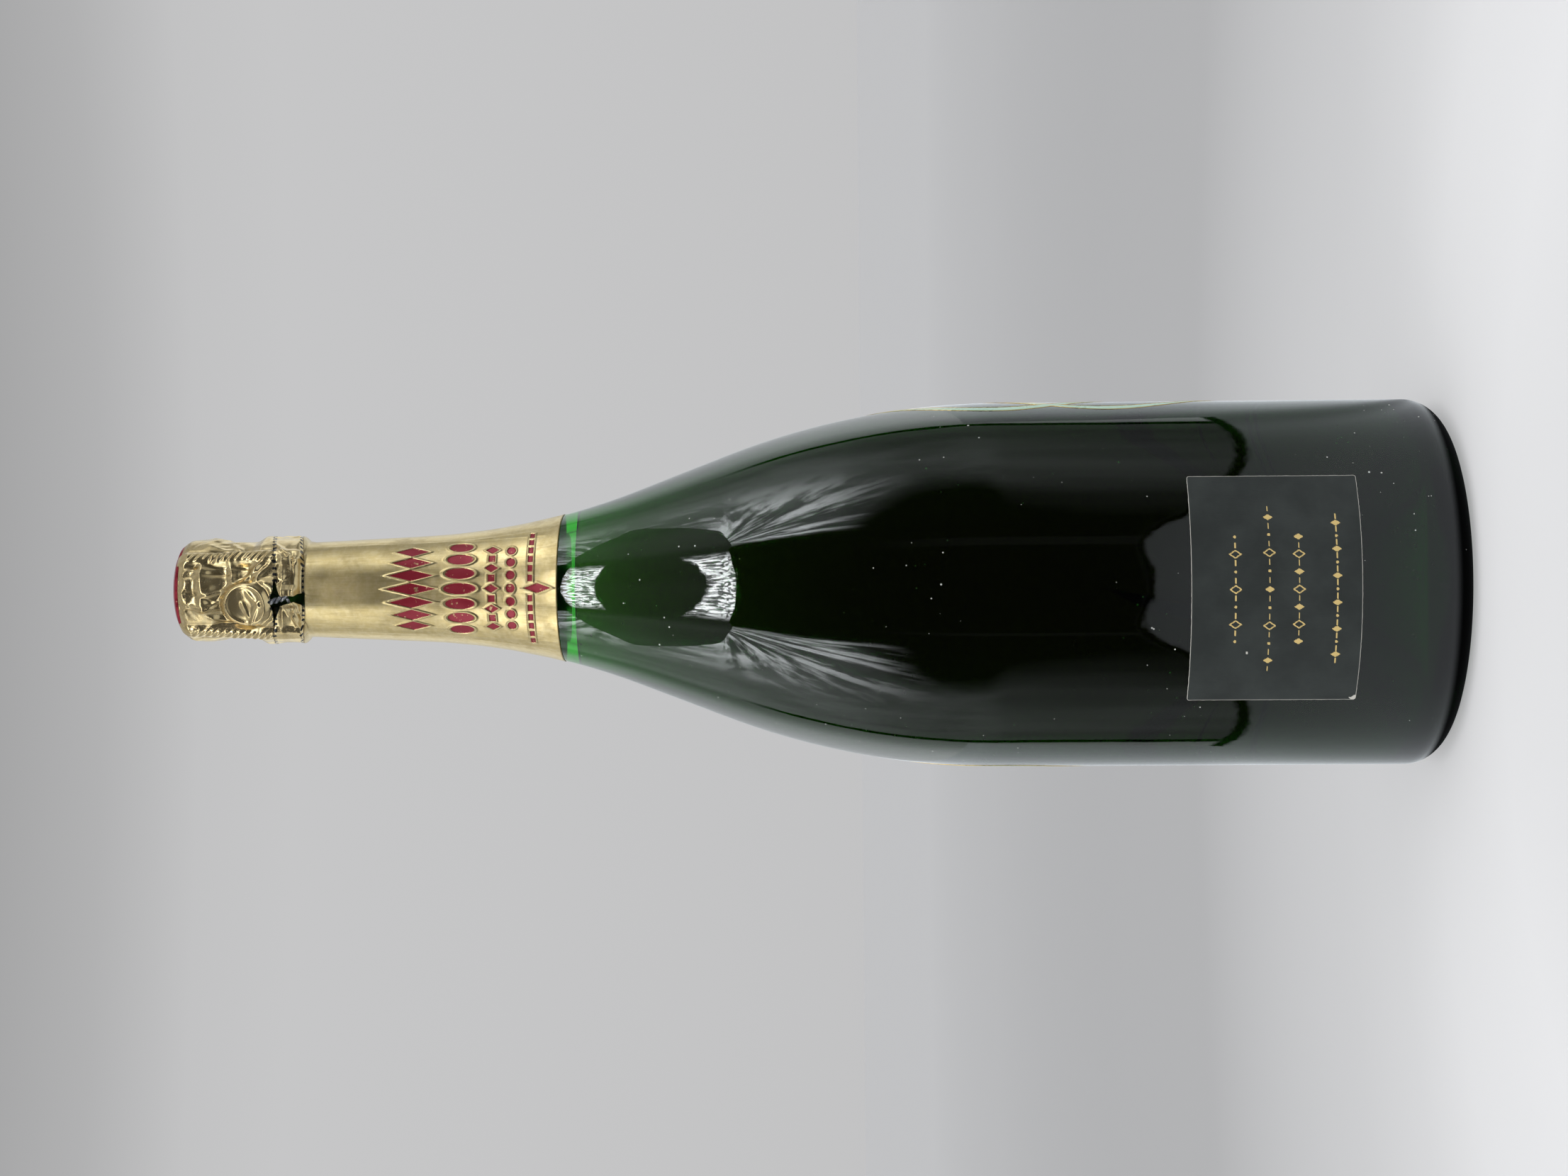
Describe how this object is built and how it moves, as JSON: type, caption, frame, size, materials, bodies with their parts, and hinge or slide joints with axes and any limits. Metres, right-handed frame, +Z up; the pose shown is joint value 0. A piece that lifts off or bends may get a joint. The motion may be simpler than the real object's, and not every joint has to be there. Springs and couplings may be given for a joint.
{
  "type": "sparkling wine bottle",
  "caption": "Sealed sparkling wine bottle in dark green glass with punt, mushroom cork, twisted wire cage, gold foil hood and neck foil, and a plain back label.",
  "frame": {"origin": "centre of the bearing ring under the base, on the surface that the bottle stands on", "axes": "+Z up along the bottle's axis to the cork, -Y out of the side with the back label, +X to the right when that side is looked at"},
  "size_m": [0.1112, 0.1113, 0.3851],
  "materials": {
    "green_glass": "polished",
    "wine": "gloss",
    "agglomerate_cork": "matte",
    "natural_cork": "matte",
    "plate_metal": "satin",
    "cage_wire": "satin",
    "gold_foil": "gloss",
    "red_foil": "satin",
    "neck_gold": "satin",
    "label_paper": "satin"
  },
  "bodies": {
    "bottle": {"bottle_glass": "green_glass", "wine": "wine", "neck_foil": "neck_gold", "tear_strip": "gold_foil", "back_label": "label_paper"},
    "cork": {"cork_body": "agglomerate_cork", "cork_disc_upper": "natural_cork", "cork_disc_lower": "natural_cork"},
    "cage": {"cap_plate": "plate_metal", "cage_frame": "cage_wire", "belt_wire": "cage_wire"},
    "hood": {"hood_foil": "gold_foil", "hood_disc": "red_foil"}
  },
  "joints": [
    {"name": "cork_pull", "type": "slide", "parent": "bottle", "child": "cork", "axis": [0, 0, 1], "range_m": [0, 0.03]},
    {"name": "cage_lift", "type": "slide", "parent": "cork", "child": "cage", "axis": [0, 0, 1], "range_m": [0, 0.042], "deforming": ["belt_wire", "cage_frame"]},
    {"name": "hood_lift", "type": "slide", "parent": "cage", "child": "hood", "axis": [0, 0, 1], "range_m": [0, 0.036]}
  ]
}
